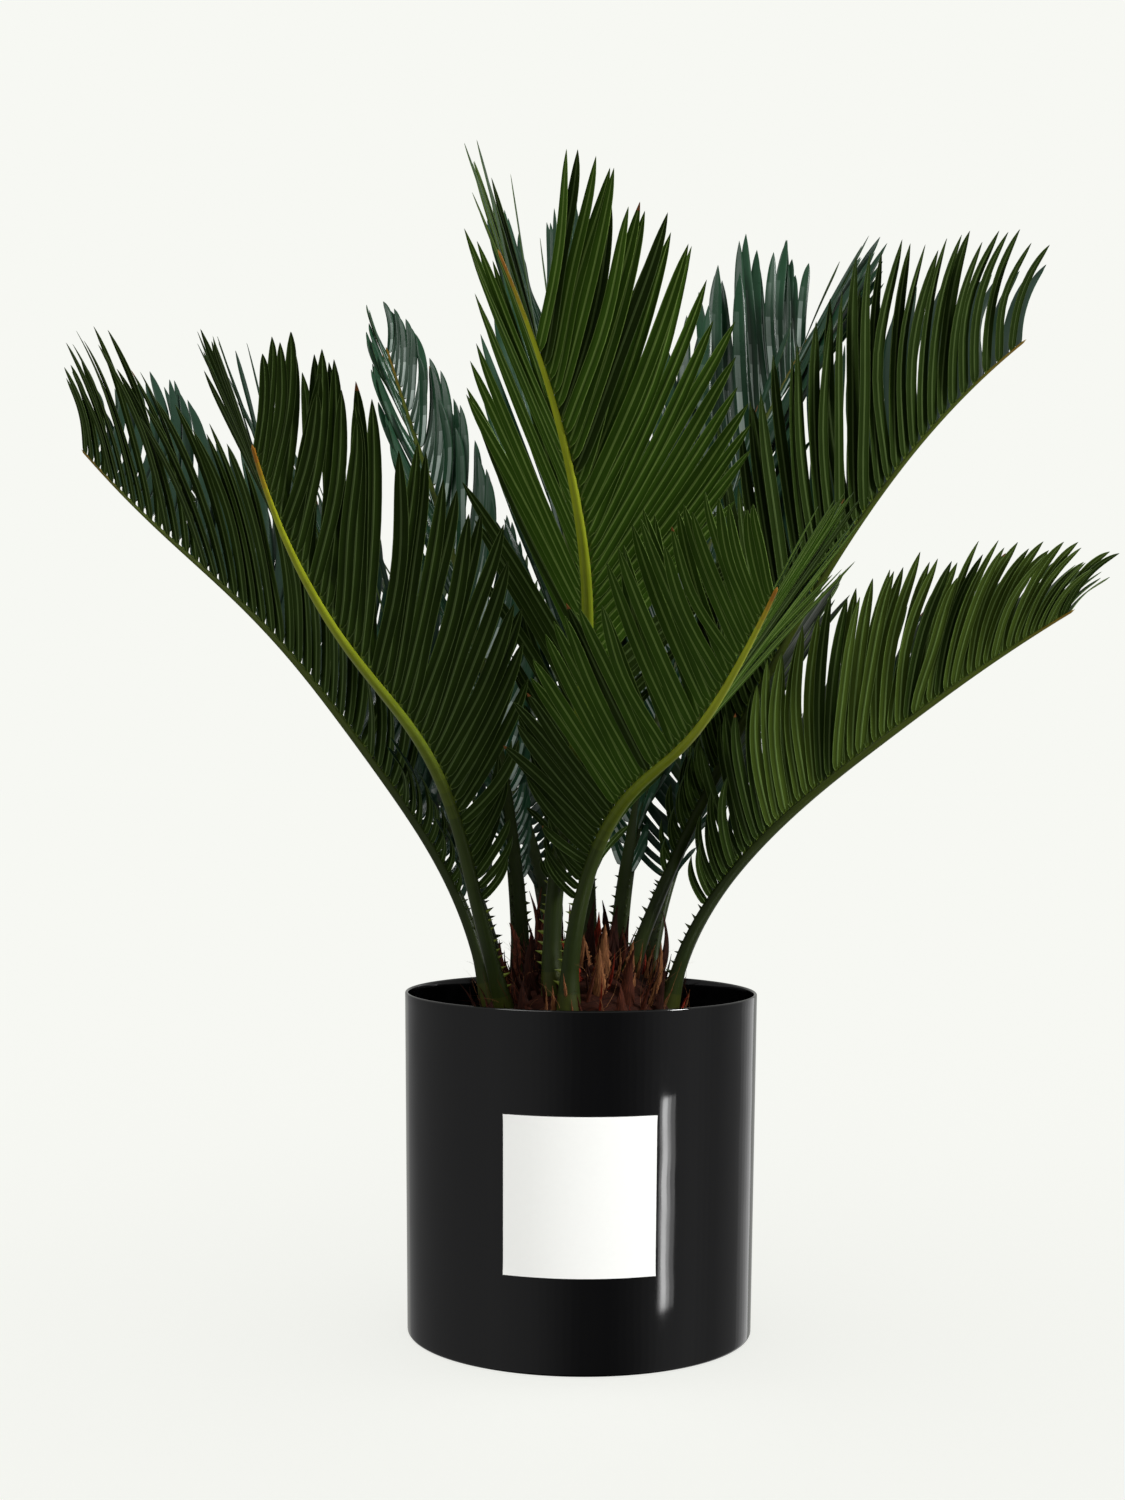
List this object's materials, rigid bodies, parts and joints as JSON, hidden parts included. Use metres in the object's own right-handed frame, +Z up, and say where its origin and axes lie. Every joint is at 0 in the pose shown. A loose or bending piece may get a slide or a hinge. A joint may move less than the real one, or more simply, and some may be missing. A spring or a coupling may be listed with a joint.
{
  "type": "potted sago palm",
  "caption": "Sago palm: arching fronds of stiff narrow leaflets on thorny stalks, rising from a low scaly trunk in a plain glossy black drum pot with a blank label.",
  "frame": {"origin": "centre of the pot's flat underside", "axes": "+Z up; -Y is the front, with the blank label"},
  "size_m": [0.661, 0.6371, 0.7764],
  "materials": {
    "pot": "gloss",
    "label": "matte",
    "soil": "matte",
    "trunk": "matte",
    "scale": "matte",
    "frond": "satin"
  },
  "bodies": {
    "root": {"frond_back": "frond", "frond_back_left": "frond", "frond_back_low": "frond", "frond_back_right": "frond", "frond_back_side": "frond", "frond_front_left": "frond", "frond_front_right": "frond", "frond_left_front": "frond", "frond_left_low": "frond", "frond_right_back": "frond", "frond_right_high": "frond", "frond_right_low": "frond", "label": "label", "pot": "pot", "scale_01": "scale", "scale_02": "scale", "scale_03": "scale", "scale_04": "scale", "scale_05": "scale", "scale_06": "scale", "scale_07": "scale", "scale_08": "scale", "scale_09": "scale", "scale_10": "scale", "scale_11": "scale", "scale_12": "scale", "scale_13": "scale", "scale_14": "scale", "scale_15": "scale", "scale_16": "scale", "scale_17": "scale", "scale_18": "scale", "scale_19": "scale", "scale_20": "scale", "scale_21": "scale", "scale_22": "scale", "scale_23": "scale", "scale_24": "scale", "scale_25": "scale", "scale_26": "scale", "scale_27": "scale", "scale_28": "scale", "scale_29": "scale", "scale_30": "scale", "scale_31": "scale", "scale_32": "scale", "scale_33": "scale", "soil": "soil", "trunk": "trunk"}
  },
  "joints": []
}
